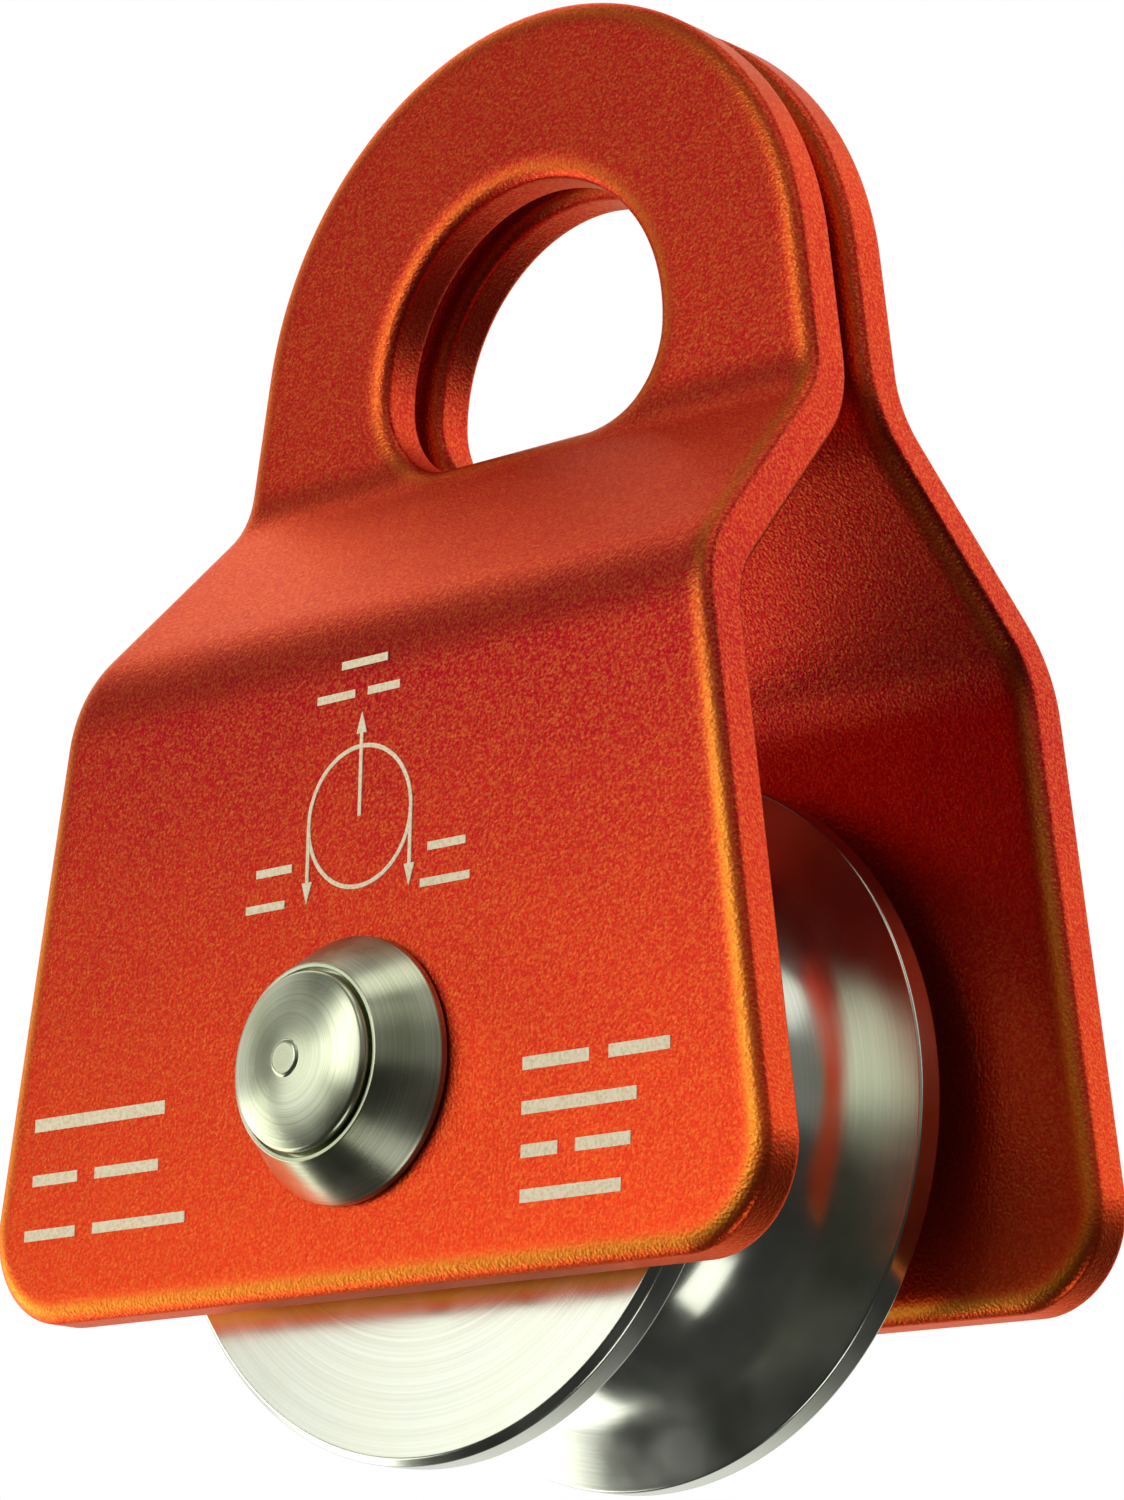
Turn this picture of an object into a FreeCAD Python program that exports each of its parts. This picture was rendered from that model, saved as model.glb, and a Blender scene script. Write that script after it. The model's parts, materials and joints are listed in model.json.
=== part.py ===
"""Small side-swing rope pulley with two swinging side plates, a grooved sheave on
two ball bearings and a through axle with cone-shaped collars.

Frame, in millimetres: the origin is the middle of the round top of the carabiner eye,
halfway between the two side plates. +Z is up, from the axle to the eye. +Y runs along
the axle from the front plate to the rear plate, and +X is to the right of the front plate.
"""
import FreeCAD, Part
import math
import os

from FreeCAD import Vector

# ---------------------------------------------------------------- driving dimensions
ROPE_DIAMETER = 11.0             # largest rope that the groove takes

# side plates
PLATE_THICKNESS = 2.7
PLATE_EDGE_ROUND = 0.6           # rounding of every outside edge and of the eye's rim
EYE_TO_AXLE = 35.5               # height of the eye's middle above the axle
LOBE_RADIUS = 17.4               # outside of the rounded top
LOBE_GAP = 1.0                   # space between the two upper flats
LOWER_OUTER_Y = 12.5             # outer face of the lower flat, from the middle plane
BOTTOM_BELOW_AXLE = 9.6          # lower edge of the plates
BOTTOM_HALF_WIDTH = 24.4
BOTTOM_CORNER_RADIUS = 4.5       # the sides run straight from here up to the lobe
BEND_ANGLE = 42.0                # slope of the flare, away from the vertical
BEND_INNER_RADIUS = 4.0          # on the hollow side of each bend
UPPER_BEND_BELOW_EYE = 4.8       # crease of the outer faces, where the upper flat ends

# carabiner eye: round over the top, flat at the bottom
EYE_RADIUS = 8.8
EYE_FLOOR_BELOW_CENTRE = 4.5
EYE_CORNER_RADIUS = 4.4

# sheave
SHEAVE_RADIUS = 16.75
SHEAVE_HALF_WIDTH = 8.0
SHEAVE_RIM_WIDTH = 1.3
SHEAVE_CHAMFER = 0.35
TREAD_RADIUS = 10.25             # bottom of the rope groove
GROOVE_RADIUS = 0.5 * ROPE_DIAMETER + 0.25
GROOVE_LIP_ROUND = 0.2

# axle, collars and the pieces between plate and bearing
AXLE_RADIUS = 4.0
AXLE_SHOULDER_RISE = 0.35        # how far the pin stands out of the collar under its dome
AXLE_SHOULDER_ROUND = 0.3
AXLE_DOME_RISE = 0.85
AXLE_NIB_RADIUS = 0.85
AXLE_NIB_RISE = 0.1
COLLAR_BASE_RADIUS = 5.95
COLLAR_TOP_RADIUS = 4.35
COLLAR_MOUTH_RADIUS = 4.15       # the narrow groove round the axle's dome
COLLAR_MOUTH_DEPTH = 0.6
COLLAR_HEIGHT = 2.8
COLLAR_BASE_LAND = 0.35          # short cylinder under the cone
SPIGOT_RADIUS = 5.0              # the collar's neck, on which the plate turns
PIVOT_CLEARANCE = 0.05           # radial, between the neck and the plate's hole
PLATE_SIDE_CLEARANCE = 0.1       # on each face of the plate
THRUST_WASHER_RADIUS = 7.0
THRUST_WASHER_THICKNESS = 0.8
SPACER_RADIUS = 5.2

# ball bearings, 8 x 16 x 5
BEARING_OUTER_RADIUS = 8.0
BEARING_WIDTH = 5.0
BEARING_RECESS = 0.4             # depth of the bearing's face below the sheave's face
BEARING_SHOULDER_RADIUS = 7.2    # rib in the sheave's bore between the two bearings
INNER_RACE_RADIUS = 5.3
OUTER_RACE_RADIUS = 6.7
BALL_RADIUS = 1.0
BALL_PITCH_RADIUS = 6.0
BALL_COUNT = 9
RACEWAY_CLEARANCE = 0.03
CAGE_INNER_RADIUS = 5.65
CAGE_OUTER_RADIUS = 6.35
CAGE_WIDTH = 2.8
CAGE_POCKET_CLEARANCE = 0.06
SHIELD_INNER_RADIUS = 5.65
SHIELD_OUTER_RADIUS = 7.1
SHIELD_THICKNESS = 0.3
SHIELD_SINK = 0.15               # depth of a shield's face below the race's face

# ---------------------------------------------------------------- derived places
AXLE_Z = -EYE_TO_AXLE
PLATE_INNER_Y = LOWER_OUTER_Y - PLATE_THICKNESS
BEARING_FACE_Y = SHEAVE_HALF_WIDTH - BEARING_RECESS
BEARING_MIDDLE_Y = BEARING_FACE_Y - BEARING_WIDTH / 2
BEARING_BACK_Y = BEARING_FACE_Y - BEARING_WIDTH
COLLAR_SEAT_Y = LOWER_OUTER_Y + PLATE_SIDE_CLEARANCE
COLLAR_TOP_Y = COLLAR_SEAT_Y + COLLAR_HEIGHT
AXLE_SHOULDER_Y = COLLAR_TOP_Y + AXLE_SHOULDER_RISE
WASHER_OUTER_Y = PLATE_INNER_Y - PLATE_SIDE_CLEARANCE
WASHER_INNER_Y = WASHER_OUTER_Y - THRUST_WASHER_THICKNESS

AXLE_CENTRE = Vector(0, 0, AXLE_Z)
ALONG_AXLE = Vector(0, 1, 0)
SIDES = (("front", -1), ("rear", 1))


# ---------------------------------------------------------------- helpers
def wire_through(points):
    """Closed wire of straight lines through the given points."""
    return Part.makePolygon(points + [points[0]])


def line(start, end):
    return Part.LineSegment(start, end).toShape()


def arc_about(centre, radius, start_degrees, end_degrees):
    """Arc in an XZ plane, with angles counted from +X towards +Z."""
    middle = 0.5 * (start_degrees + end_degrees)
    points = []
    for degrees in (start_degrees, middle, end_degrees):
        angle = math.radians(degrees)
        points.append(centre + Vector(radius * math.cos(angle), 0, radius * math.sin(angle)))
    return Part.Arc(*points).toShape()


def turned(profile):
    """Solid of revolution about the axle, from (radius, y) corners of half its section."""
    corners = [Vector(radius, y, AXLE_Z) for radius, y in profile]
    face = Part.Face(wire_through(corners))
    return face.revolve(AXLE_CENTRE, ALONG_AXLE, 360)


def ring(inner_radius, outer_radius, low_y, high_y):
    """Plain ring about the axle."""
    return turned([
        (inner_radius, low_y), (outer_radius, low_y), (outer_radius, high_y), (inner_radius, high_y)])


def ball_directions():
    """Unit vectors from the axle to each ball's place."""
    directions = []
    for index in range(BALL_COUNT):
        angle = 2 * math.pi * (index + 0.5) / BALL_COUNT
        directions.append(Vector(math.cos(angle), 0, math.sin(angle)))
    return directions


def mirrored_to(shape, side):
    """The piece as modelled on the rear side, or its mirror image on the front side."""
    if side > 0:
        return shape
    return shape.mirror(Vector(0, 0, 0), ALONG_AXLE)


def save(name, shape):
    """Write one node, after checking that it is sound."""
    if not shape.isValid() or shape.Volume <= 0:
        raise RuntimeError(name + " is not a sound solid")
    shape.exportStep("parts/" + name + ".step")
    print(f"{name:28s} solids {len(shape.Solids):2d}  volume {shape.Volume:9.2f} mm3")


# ---------------------------------------------------------------- side plates
def plate_section():
    """Bent strip in the YZ plane, rear side: lower flat, flare and upper flat."""
    slope = math.radians(BEND_ANGLE)
    upper_outer_y = LOBE_GAP / 2 + PLATE_THICKNESS
    step_inwards = LOWER_OUTER_Y - upper_outer_y
    upper_crease_z = -UPPER_BEND_BELOW_EYE
    lower_crease_z = upper_crease_z - step_inwards / math.tan(slope)
    crease_shift = PLATE_THICKNESS * math.tan(slope / 2)
    margin = PLATE_THICKNESS
    top_z = LOBE_RADIUS + margin
    bottom_z = AXLE_Z - BOTTOM_BELOW_AXLE - margin
    inner_y = upper_outer_y - PLATE_THICKNESS

    outline = wire_through([
        Vector(0, LOWER_OUTER_Y, bottom_z),
        Vector(0, LOWER_OUTER_Y, lower_crease_z),
        Vector(0, upper_outer_y, upper_crease_z),
        Vector(0, upper_outer_y, top_z),
        Vector(0, inner_y, top_z),
        Vector(0, inner_y, upper_crease_z - crease_shift),
        Vector(0, PLATE_INNER_Y, lower_crease_z - crease_shift),
        Vector(0, PLATE_INNER_Y, bottom_z)])
    half_length = BOTTOM_HALF_WIDTH + margin
    strip = Part.Face(outline).extrude(Vector(2 * half_length, 0, 0))
    strip.translate(Vector(-half_length, 0, 0))

    creases = {
        (LOWER_OUTER_Y, lower_crease_z): BEND_INNER_RADIUS + PLATE_THICKNESS,
        (upper_outer_y, upper_crease_z): BEND_INNER_RADIUS,
        (inner_y, upper_crease_z - crease_shift): BEND_INNER_RADIUS + PLATE_THICKNESS,
        (PLATE_INNER_Y, lower_crease_z - crease_shift): BEND_INNER_RADIUS}
    for (crease_y, crease_z), radius in creases.items():
        edges = []
        for edge in strip.Edges:
            middle = edge.CenterOfMass
            if abs(middle.y - crease_y) < 1e-6 and abs(middle.z - crease_z) < 1e-6:
                edges.append(edge)
        strip = strip.makeFillet(radius, edges)
    return strip


def corner_arc(before, corner, after, radius):
    """Arc of the given radius that rounds a corner, with its first and last points."""
    back = (before - corner).normalize()
    ahead = (after - corner).normalize()
    half_opening = 0.5 * math.acos(back.dot(ahead))
    tangent = radius / math.tan(half_opening)
    bisector = (back + ahead).normalize()
    start = corner + back * tangent
    end = corner + ahead * tangent
    middle = corner + bisector * (radius / math.sin(half_opening) - radius)
    return Part.Arc(start, middle, end).toShape(), start, end


def lobe_tangent_angle():
    """Angle from +X at which a straight side leaves the lobe, in degrees.

    The side starts at the square corner of the lower edge and touches the lobe's circle."""
    corner_x = BOTTOM_HALF_WIDTH
    corner_z = AXLE_Z - BOTTOM_BELOW_AXLE
    to_corner = math.atan2(corner_z, corner_x)
    opening = math.acos(LOBE_RADIUS / math.hypot(corner_x, corner_z))
    return math.degrees(to_corner + opening)


def plate_outline():
    """Closed outline of a side plate as seen from the front."""
    bottom_z = AXLE_Z - BOTTOM_BELOW_AXLE
    bottom_middle = Vector(0, 0, bottom_z)
    tangent_degrees = lobe_tangent_angle()
    touch_x = LOBE_RADIUS * math.cos(math.radians(tangent_degrees))
    touch_z = LOBE_RADIUS * math.sin(math.radians(tangent_degrees))
    edges = [arc_about(Vector(0, 0, 0), LOBE_RADIUS, tangent_degrees, 180 - tangent_degrees)]
    feet = []
    for side in (-1, 1):
        touch = Vector(side * touch_x, 0, touch_z)
        corner = Vector(side * BOTTOM_HALF_WIDTH, 0, bottom_z)
        corner_round, foot, side_end = corner_arc(bottom_middle, corner, touch, BOTTOM_CORNER_RADIUS)
        edges += [corner_round, line(side_end, touch)]
        feet.append(foot)
    edges.append(line(*feet))
    return Part.Wire(Part.__sortEdges__(edges))


def eye_outline():
    """D-shaped eye: half round on top, two corner arcs and a flat floor."""
    floor_z = -EYE_FLOOR_BELOW_CENTRE
    corner_x = EYE_RADIUS - EYE_CORNER_RADIUS
    corner_z = floor_z + EYE_CORNER_RADIUS
    right = Vector(EYE_RADIUS, 0, 0)
    left = Vector(-EYE_RADIUS, 0, 0)
    edges = [
        arc_about(Vector(0, 0, 0), EYE_RADIUS, 0, 180),
        line(left, Vector(-EYE_RADIUS, 0, corner_z)),
        arc_about(Vector(-corner_x, 0, corner_z), EYE_CORNER_RADIUS, 180, 270),
        line(Vector(-corner_x, 0, floor_z), Vector(corner_x, 0, floor_z)),
        arc_about(Vector(corner_x, 0, corner_z), EYE_CORNER_RADIUS, 270, 360),
        line(Vector(EYE_RADIUS, 0, corner_z), right)]
    return Part.Wire(Part.__sortEdges__(edges))


def through_plate(wire):
    """Solid that the wire cuts out of everything on the rear side."""
    reach = LOWER_OUTER_Y + PLATE_THICKNESS
    return Part.Face(wire).extrude(Vector(0, reach, 0))


def side_plate():
    """Rear side plate: bent strip cut to its outline, with rounded edges, eye and pivot hole."""
    plate = plate_section().common(through_plate(plate_outline()))
    plate = plate.cut(through_plate(eye_outline()))
    faces_across = [face for face in plate.Faces if not is_edge_face(face)]
    rim_edges = []
    for edge in plate.Edges:
        owners = [face for face in faces_across if has_edge(face, edge)]
        if len(owners) == 1:
            rim_edges.append(edge)
    plate = plate.makeFillet(PLATE_EDGE_ROUND, rim_edges)
    pivot_hole = Part.makeCylinder(SPIGOT_RADIUS + PIVOT_CLEARANCE, 2 * LOWER_OUTER_Y,
                                   Vector(0, 0, AXLE_Z), ALONG_AXLE)
    return plate.cut(pivot_hole)


def is_edge_face(face):
    """True for a face that runs straight through the plate's thickness, along Y."""
    u_low, u_high, v_low, v_high = face.ParameterRange
    normal = face.normalAt(0.5 * (u_low + u_high), 0.5 * (v_low + v_high))
    return abs(normal.y) < 1e-6


def has_edge(face, edge):
    return any(edge.isSame(other) for other in face.Edges)


# ---------------------------------------------------------------- sheave
def sheave():
    """Turned wheel with a U-shaped rope groove and a stepped bore for two bearings."""
    half = SHEAVE_HALF_WIDTH
    groove_centre = TREAD_RADIUS + GROOVE_RADIUS
    lip_y = half - SHEAVE_CHAMFER - SHEAVE_RIM_WIDTH
    rim_start_y = half - SHEAVE_CHAMFER

    def at(radius, y):
        return Vector(radius, y, AXLE_Z)

    # the groove's flank leaves the round bottom on the line that touches it from the lip
    lip = at(SHEAVE_RADIUS, lip_y)
    centre = at(groove_centre, 0)
    to_lip = lip - centre
    reach = to_lip.Length
    swing = math.acos(GROOVE_RADIUS / reach)
    lip_angle = math.atan2(to_lip.y, to_lip.x)
    touch_angle = lip_angle + swing
    touch = at(groove_centre + GROOVE_RADIUS * math.cos(touch_angle), GROOVE_RADIUS * math.sin(touch_angle))
    opposite_touch = at(touch.x, -touch.y)

    edges = [
        line(at(BEARING_SHOULDER_RADIUS, BEARING_BACK_Y), at(BEARING_OUTER_RADIUS, BEARING_BACK_Y)),
        line(at(BEARING_OUTER_RADIUS, BEARING_BACK_Y), at(BEARING_OUTER_RADIUS, rim_start_y)),
        line(at(BEARING_OUTER_RADIUS, rim_start_y), at(BEARING_OUTER_RADIUS + SHEAVE_CHAMFER, half)),
        line(at(BEARING_OUTER_RADIUS + SHEAVE_CHAMFER, half), at(SHEAVE_RADIUS - SHEAVE_CHAMFER, half)),
        line(at(SHEAVE_RADIUS - SHEAVE_CHAMFER, half), at(SHEAVE_RADIUS, rim_start_y)),
        line(at(SHEAVE_RADIUS, rim_start_y), lip),
        line(lip, touch)]
    mirrored = [edge.mirror(Vector(0, 0, 0), ALONG_AXLE) for edge in edges]
    bottom = Part.Arc(touch, at(TREAD_RADIUS, 0), opposite_touch).toShape()
    rib = line(at(BEARING_SHOULDER_RADIUS, BEARING_BACK_Y), at(BEARING_SHOULDER_RADIUS, -BEARING_BACK_Y))
    wire = Part.Wire(Part.__sortEdges__(edges + mirrored + [bottom, rib]))
    wheel = Part.Face(wire).revolve(AXLE_CENTRE, ALONG_AXLE, 360)
    lip_edges = []
    for edge in wheel.Edges:
        on_lip = abs(abs(edge.CenterOfMass.y) - lip_y) < 1e-6
        if on_lip and abs(edge.BoundBox.XMax - SHEAVE_RADIUS) < 1e-3:
            lip_edges.append(edge)
    return wheel.makeFillet(GROOVE_LIP_ROUND, lip_edges)


# ---------------------------------------------------------------- axle and collars
def axle_pin():
    """Plain pin with a shallow dome, a rounded shoulder and a low turning nib on each end."""
    start = Vector(0, -AXLE_SHOULDER_Y, AXLE_Z)
    pin = Part.makeCylinder(AXLE_RADIUS, 2 * AXLE_SHOULDER_Y, start, ALONG_AXLE)
    dome_radius = (AXLE_RADIUS ** 2 + AXLE_DOME_RISE ** 2) / (2 * AXLE_DOME_RISE)
    crown_y = AXLE_SHOULDER_Y + AXLE_DOME_RISE
    for _, side in SIDES:
        ball = Part.makeSphere(dome_radius, Vector(0, side * (crown_y - dome_radius), AXLE_Z))
        slab_start = Vector(0, side * AXLE_SHOULDER_Y, AXLE_Z)
        slab = Part.makeCylinder(AXLE_RADIUS, AXLE_DOME_RISE, slab_start, Vector(0, side, 0))
        pin = pin.fuse(slab.common(ball))
    pin = pin.removeSplitter()
    shoulders = [edge for edge in pin.Edges if is_shoulder(edge)]
    pin = pin.makeFillet(AXLE_SHOULDER_ROUND, shoulders)

    nib_root = AXLE_DOME_RISE / 2
    for _, side in SIDES:
        nib_start = Vector(0, side * (crown_y - nib_root), AXLE_Z)
        nib = Part.makeCylinder(AXLE_NIB_RADIUS, nib_root + AXLE_NIB_RISE, nib_start, Vector(0, side, 0))
        pin = pin.fuse(nib)
    return pin.removeSplitter()


def is_shoulder(edge):
    """Whether an edge of the pin is one of the circles where its domes start."""
    box = edge.BoundBox
    level = abs(abs(box.YMin) - AXLE_SHOULDER_Y) < 1e-6 and box.YLength < 1e-6
    return level and abs(box.XLength - 2 * AXLE_RADIUS) < 1e-3


def collar():
    """Cone-shaped collar with a neck that passes through the plate's pivot hole."""
    return turned([
        (AXLE_RADIUS, WASHER_OUTER_Y),
        (SPIGOT_RADIUS, WASHER_OUTER_Y),
        (SPIGOT_RADIUS, COLLAR_SEAT_Y),
        (COLLAR_BASE_RADIUS, COLLAR_SEAT_Y),
        (COLLAR_BASE_RADIUS, COLLAR_SEAT_Y + COLLAR_BASE_LAND),
        (COLLAR_TOP_RADIUS, COLLAR_TOP_Y),
        (COLLAR_MOUTH_RADIUS, COLLAR_TOP_Y),
        (COLLAR_MOUTH_RADIUS, COLLAR_TOP_Y - COLLAR_MOUTH_DEPTH),
        (AXLE_RADIUS, COLLAR_TOP_Y - COLLAR_MOUTH_DEPTH)])


# ---------------------------------------------------------------- ball bearings
def inner_race():
    """Inner race centred on y = 0, with a round raceway cut by the balls' path."""
    half = BEARING_WIDTH / 2
    return ring(AXLE_RADIUS, INNER_RACE_RADIUS, -half, half).cut(raceway())


def outer_race():
    """Outer race centred on y = 0, with a raceway and a seat for each shield."""
    half = BEARING_WIDTH / 2
    shield_face = half - SHIELD_SINK - SHIELD_THICKNESS
    race = ring(OUTER_RACE_RADIUS, BEARING_OUTER_RADIUS, -half, half).cut(raceway())
    for side in (-1, 1):
        low, high = sorted((side * shield_face, side * half))
        race = race.cut(ring(INNER_RACE_RADIUS, SHIELD_OUTER_RADIUS, low, high))
    return race


def raceway():
    """Torus swept by the balls, with the bearing's running clearance."""
    return Part.makeTorus(BALL_PITCH_RADIUS, BALL_RADIUS + RACEWAY_CLEARANCE, AXLE_CENTRE, ALONG_AXLE)


def balls():
    """The balls of one bearing, as separate solids about the axle at y = 0."""
    return Part.makeCompound([
        Part.makeSphere(BALL_RADIUS, AXLE_CENTRE + outwards * BALL_PITCH_RADIUS)
        for outwards in ball_directions()])


def cage():
    """Ring with one round pocket, drilled straight outwards, for each ball."""
    body = ring(CAGE_INNER_RADIUS, CAGE_OUTER_RADIUS, -CAGE_WIDTH / 2, CAGE_WIDTH / 2)
    for outwards in ball_directions():
        body = body.cut(Part.makeCylinder(
            BALL_RADIUS + CAGE_POCKET_CLEARANCE, BALL_PITCH_RADIUS + BALL_RADIUS, AXLE_CENTRE, outwards))
    return body


def shield(side):
    """Thin cover ring on one face of a bearing centred on y = 0."""
    face = BEARING_WIDTH / 2 - SHIELD_SINK
    low, high = sorted((side * (face - SHIELD_THICKNESS), side * face))
    return ring(SHIELD_INNER_RADIUS, SHIELD_OUTER_RADIUS, low, high)


# ---------------------------------------------------------------- the whole pulley
def main():
    os.makedirs("parts", exist_ok=True)
    plate = side_plate()
    save("front_side_plate", mirrored_to(plate, -1))
    save("rear_side_plate", plate)
    save("sheave", sheave())
    save("axle_pin", axle_pin())
    save("inner_race_sleeve", ring(AXLE_RADIUS, SPACER_RADIUS, -BEARING_BACK_Y, BEARING_BACK_Y))
    to_bearing = Vector(0, BEARING_MIDDLE_Y, 0)
    for name, side in SIDES:
        save(name + "_collar", mirrored_to(collar(), side))
        washer = ring(AXLE_RADIUS, THRUST_WASHER_RADIUS, WASHER_INNER_Y, WASHER_OUTER_Y)
        save(name + "_thrust_washer", mirrored_to(washer, side))
        spacer = ring(AXLE_RADIUS, SPACER_RADIUS, BEARING_FACE_Y, WASHER_INNER_Y)
        save(name + "_bearing_spacer", mirrored_to(spacer, side))
        bearing_pieces = {
            "inner_race": inner_race(),
            "outer_race": outer_race(),
            "ball_cage": cage(),
            "balls": balls(),
            "outer_shield": shield(1),
            "inner_shield": shield(-1)}
        for piece, shape in bearing_pieces.items():
            placed = shape.translated(to_bearing)
            save(name + "_bearing_" + piece, mirrored_to(placed, side))


main()
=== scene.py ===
# Looks of the small side-swing rope pulley: bead-blasted orange side plates, a turned and
# polished steel sheave, cone-shaped collars and the domed ends of the axle.
# Sizes are in millimetres up to the moment a mesh is made, where MM turns them to metres.

import json

import bmesh
import bpy
import numpy as np
from mathutils import Matrix, Vector


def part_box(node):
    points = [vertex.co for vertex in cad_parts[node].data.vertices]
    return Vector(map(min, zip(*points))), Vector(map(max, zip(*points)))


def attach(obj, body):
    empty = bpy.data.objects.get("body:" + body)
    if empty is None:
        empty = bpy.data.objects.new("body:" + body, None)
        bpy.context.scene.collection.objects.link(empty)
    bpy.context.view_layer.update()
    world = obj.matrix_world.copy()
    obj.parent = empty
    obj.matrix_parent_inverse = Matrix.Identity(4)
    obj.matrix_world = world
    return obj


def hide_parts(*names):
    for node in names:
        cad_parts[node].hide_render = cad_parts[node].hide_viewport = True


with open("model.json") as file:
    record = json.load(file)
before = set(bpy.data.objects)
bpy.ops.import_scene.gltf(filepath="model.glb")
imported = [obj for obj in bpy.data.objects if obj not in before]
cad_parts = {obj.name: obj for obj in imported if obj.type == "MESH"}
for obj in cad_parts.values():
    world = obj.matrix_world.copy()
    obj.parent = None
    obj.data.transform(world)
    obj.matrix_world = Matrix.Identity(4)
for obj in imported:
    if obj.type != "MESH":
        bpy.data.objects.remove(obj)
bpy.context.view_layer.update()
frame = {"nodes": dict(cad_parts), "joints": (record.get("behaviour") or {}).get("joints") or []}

MM = 0.001
AXLE_Z = frame["joints"][0]["pos_m"][2] / MM       # the eye's middle is at z = 0


def span(node, axis):
    """Lowest and highest value of a CAD node along one axis, in millimetres."""
    low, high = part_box(node)
    return low[axis] / MM, high[axis] / MM


# ---------------------------------------------------------------- sizes
LOWER_OUTER_Y = span("rear_side_plate", 1)[1]      # outer face of the lower flat
LOBE_RADIUS = span("rear_side_plate", 2)[1]
BOTTOM_Z = span("rear_side_plate", 2)[0]
BOTTOM_HALF_WIDTH = 24.4                           # before its corner is rounded
PLATE_THICKNESS = 2.7
EDGE_ROUND = 0.6                                   # depth of the rounded edge, from the face
EDGE_SPREAD = 1.3                                  # its width along the face
ROUNDING_ANGLES = np.linspace(90, 0, 11)           # from the face to the wall, see rim()
WALL_SHARES = (0.1, 0.9)                           # rows of points on the edge's flat wall
LOBE_GAP = 1.0
BOTTOM_CORNER_RADIUS = 4.5
BEND_ANGLE = 42.0
BEND_INNER_RADIUS = 4.0
UPPER_BEND_Z = -4.8
FLAT_BELOW_Z = -19.0                               # under this height the plate is flat
RUN_OUT = 5.0                                      # bend lines go on past the plate this far
EYE_RADIUS = 8.8
EYE_FLOOR_Z = -4.5
EYE_CORNER_RADIUS = 4.4
PIVOT_HOLE_RADIUS = 5.05

# Painted shade: the colour is deepest red along one level line on the lower bend. A painted
# golden highlight on the rounded edges is brightest at the angle below, mostly under that line.
PAINTED_SHADE_Z = -17.5
PAINTED_HIGHLIGHT_FADE = 8.0                                # height over which the painted golden highlight comes up
PAINTED_HIGHLIGHT_ANGLE = 54.0
PAINTED_HIGHLIGHT_WIDTH = 16.0

SHEAVE_RADIUS = span("sheave", 0)[1]
SHEAVE_HALF_WIDTH = span("sheave", 1)[1]
SHEAVE_RIM_WIDTH = 1.3
SHEAVE_CHAMFER = 0.35
TREAD_RADIUS = 10.25
GROOVE_RADIUS = 5.75
BORE_RADIUS = 8.0
RIB_RADIUS = 7.2
RIB_HALF_WIDTH = 2.6

AXLE_RADIUS = 4.0
AXLE_END_Y = span("axle_pin", 1)[1]
NIB_RADIUS = 0.85
NIB_RISE = 0.1
NIB_TAPER = 0.9                                    # its top's width over its foot's
DOME_RISE = 0.85
SHOULDER_ROUND = 0.3
COLLAR_INNER_Y, COLLAR_TOP_Y = span("rear_collar", 1)
PLATE_PLAY = 0.1                                   # between the plate and the collar's seat
COLLAR_SEAT_Y = LOWER_OUTER_Y + PLATE_PLAY
COLLAR_BASE_RADIUS = 5.95
COLLAR_TOP_RADIUS = 4.35
COLLAR_MOUTH_RADIUS = 4.15
COLLAR_MOUTH_DEPTH = 0.6
COLLAR_BASE_LAND = 0.35
SPIGOT_RADIUS = 5.0

FULL_TURN = 2 * np.pi
CIRCLE_SIDES = 96                                  # of the ring mark and the floor
SEWING_REACH_M = 1e-7                              # points this close become one


# ---------------------------------------------------------------- curves
def rounded(corners, step_degrees=8.0, closed=True):
    """Line through (a, b, radius) corners with each corner replaced by an arc.

    An arc touches both neighbouring runs: it starts radius / tan(half the opening) before
    the corner and turns about a centre on the bisector. A short straight stretch is kept
    at each end of an arc, so that the flats beside it shade as flats."""
    places = np.array([corner[:2] for corner in corners], float)
    count = len(places)
    line = []
    for index, (place, (_, _, radius)) in enumerate(zip(places, corners)):
        is_end = not closed and index in (0, count - 1)
        if is_end or radius <= 0:
            line.append(place[None])
            continue
        back = places[index - 1] - place
        ahead = places[(index + 1) % count] - place
        back_length, ahead_length = np.linalg.norm(back), np.linalg.norm(ahead)
        back, ahead = back / back_length, ahead / ahead_length
        half_opening = 0.5 * np.arccos(np.clip(back @ ahead, -1, 1))
        tangent = radius / np.tan(half_opening)
        bisector = (back + ahead) / np.linalg.norm(back + ahead)
        centre = place + bisector * radius / np.sin(half_opening)
        first, last = place + back * tangent - centre, place + ahead * tangent - centre
        turn = np.pi - 2 * half_opening
        steps = max(2, int(np.ceil(np.degrees(turn) / step_degrees)))
        share = np.linspace(0, 1, steps + 1)[:, None]
        bend = centre + (np.sin((1 - share) * turn) * first + np.sin(share * turn) * last) / np.sin(turn)
        lead = min(0.25 * radius, 0.3 * min(back_length, ahead_length))
        line.append(bend[:1] + back * lead)
        line.append(bend)
        line.append(bend[-1:] + ahead * lead)
    return np.concatenate(line)


def arc(centre, radius, start_degrees, end_degrees, spacing):
    """Points on a circle at even angles, no further apart than the spacing."""
    turn = np.radians(end_degrees - start_degrees)
    steps = max(2, int(np.ceil(abs(turn) * radius / spacing)))
    angle = np.radians(start_degrees) + np.linspace(0, 1, steps + 1) * turn
    return np.stack([centre[0] + radius * np.cos(angle), centre[1] + radius * np.sin(angle)], -1)


def run(start, end, spacing):
    """Evenly spaced points on a straight line, with both of its ends."""
    start, end = np.array(start, float), np.array(end, float)
    steps = max(1, int(np.ceil(np.linalg.norm(end - start) / spacing)))
    return start + np.linspace(0, 1, steps + 1)[:, None] * (end - start)


def joined(*pieces):
    """Pieces of line put end to end, with their doubled points taken out."""
    line = np.concatenate(pieces)
    step = np.linalg.norm(np.diff(line, axis=0), axis=1)
    return line[np.concatenate([[True], step > 1e-6])]


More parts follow.
